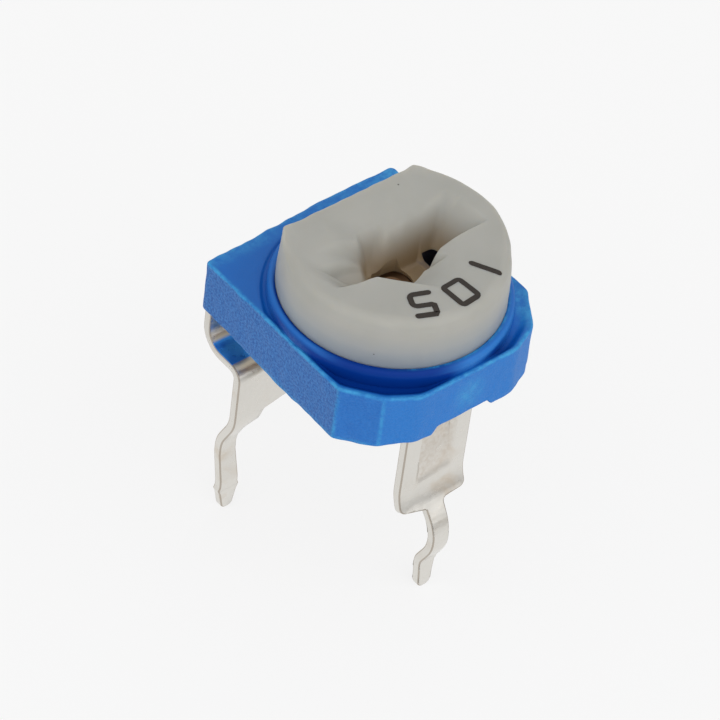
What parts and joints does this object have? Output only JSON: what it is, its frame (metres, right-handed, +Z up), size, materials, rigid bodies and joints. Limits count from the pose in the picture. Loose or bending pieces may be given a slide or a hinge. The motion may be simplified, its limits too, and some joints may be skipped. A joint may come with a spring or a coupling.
{
  "type": "trimmer potentiometer",
  "caption": "Small open-frame carbon trimmer with a cross-slotted rotor in a moulded housing, and kinked pins that hold it flat above a circuit board.",
  "frame": {"origin": "on the rotor's axis, in the plane of the board's top face", "axes": "+X along the row of end pins, +Y towards the end pins, +Z up along the rotor's axis"},
  "size_m": [0.0062, 0.0068, 0.0101],
  "materials": {
    "blue_moulding": "moulded, fine matte",
    "rotor_moulding": "moulded, satin, with a printed value",
    "spring_bronze": "rolled phosphor bronze",
    "phenolic_laminate": "punched resin-bonded paper",
    "carbon_film": "screen-printed carbon",
    "tinned_sheet": "bright tin plate",
    "rivet_metal": "thinly tinned"
  },
  "bodies": {
    "base": {"housing": "blue_moulding", "base_plate": "phenolic_laminate", "carbon_track": "carbon_film", "centre_rivet": "rivet_metal", "end_terminal_left": "tinned_sheet", "end_terminal_right": "tinned_sheet", "wiper_terminal": "tinned_sheet", "end_rivet_left": "rivet_metal", "end_rivet_right": "rivet_metal"},
    "rotor": {"rotor": "rotor_moulding", "wiper_spring": "spring_bronze"}
  },
  "joints": [
    {"name": "rotor_turn", "type": "hinge", "parent": "base", "child": "rotor", "pos_m": [0, 0, 0], "axis": [0, 0, 1], "range_deg": [-105, 105]}
  ]
}
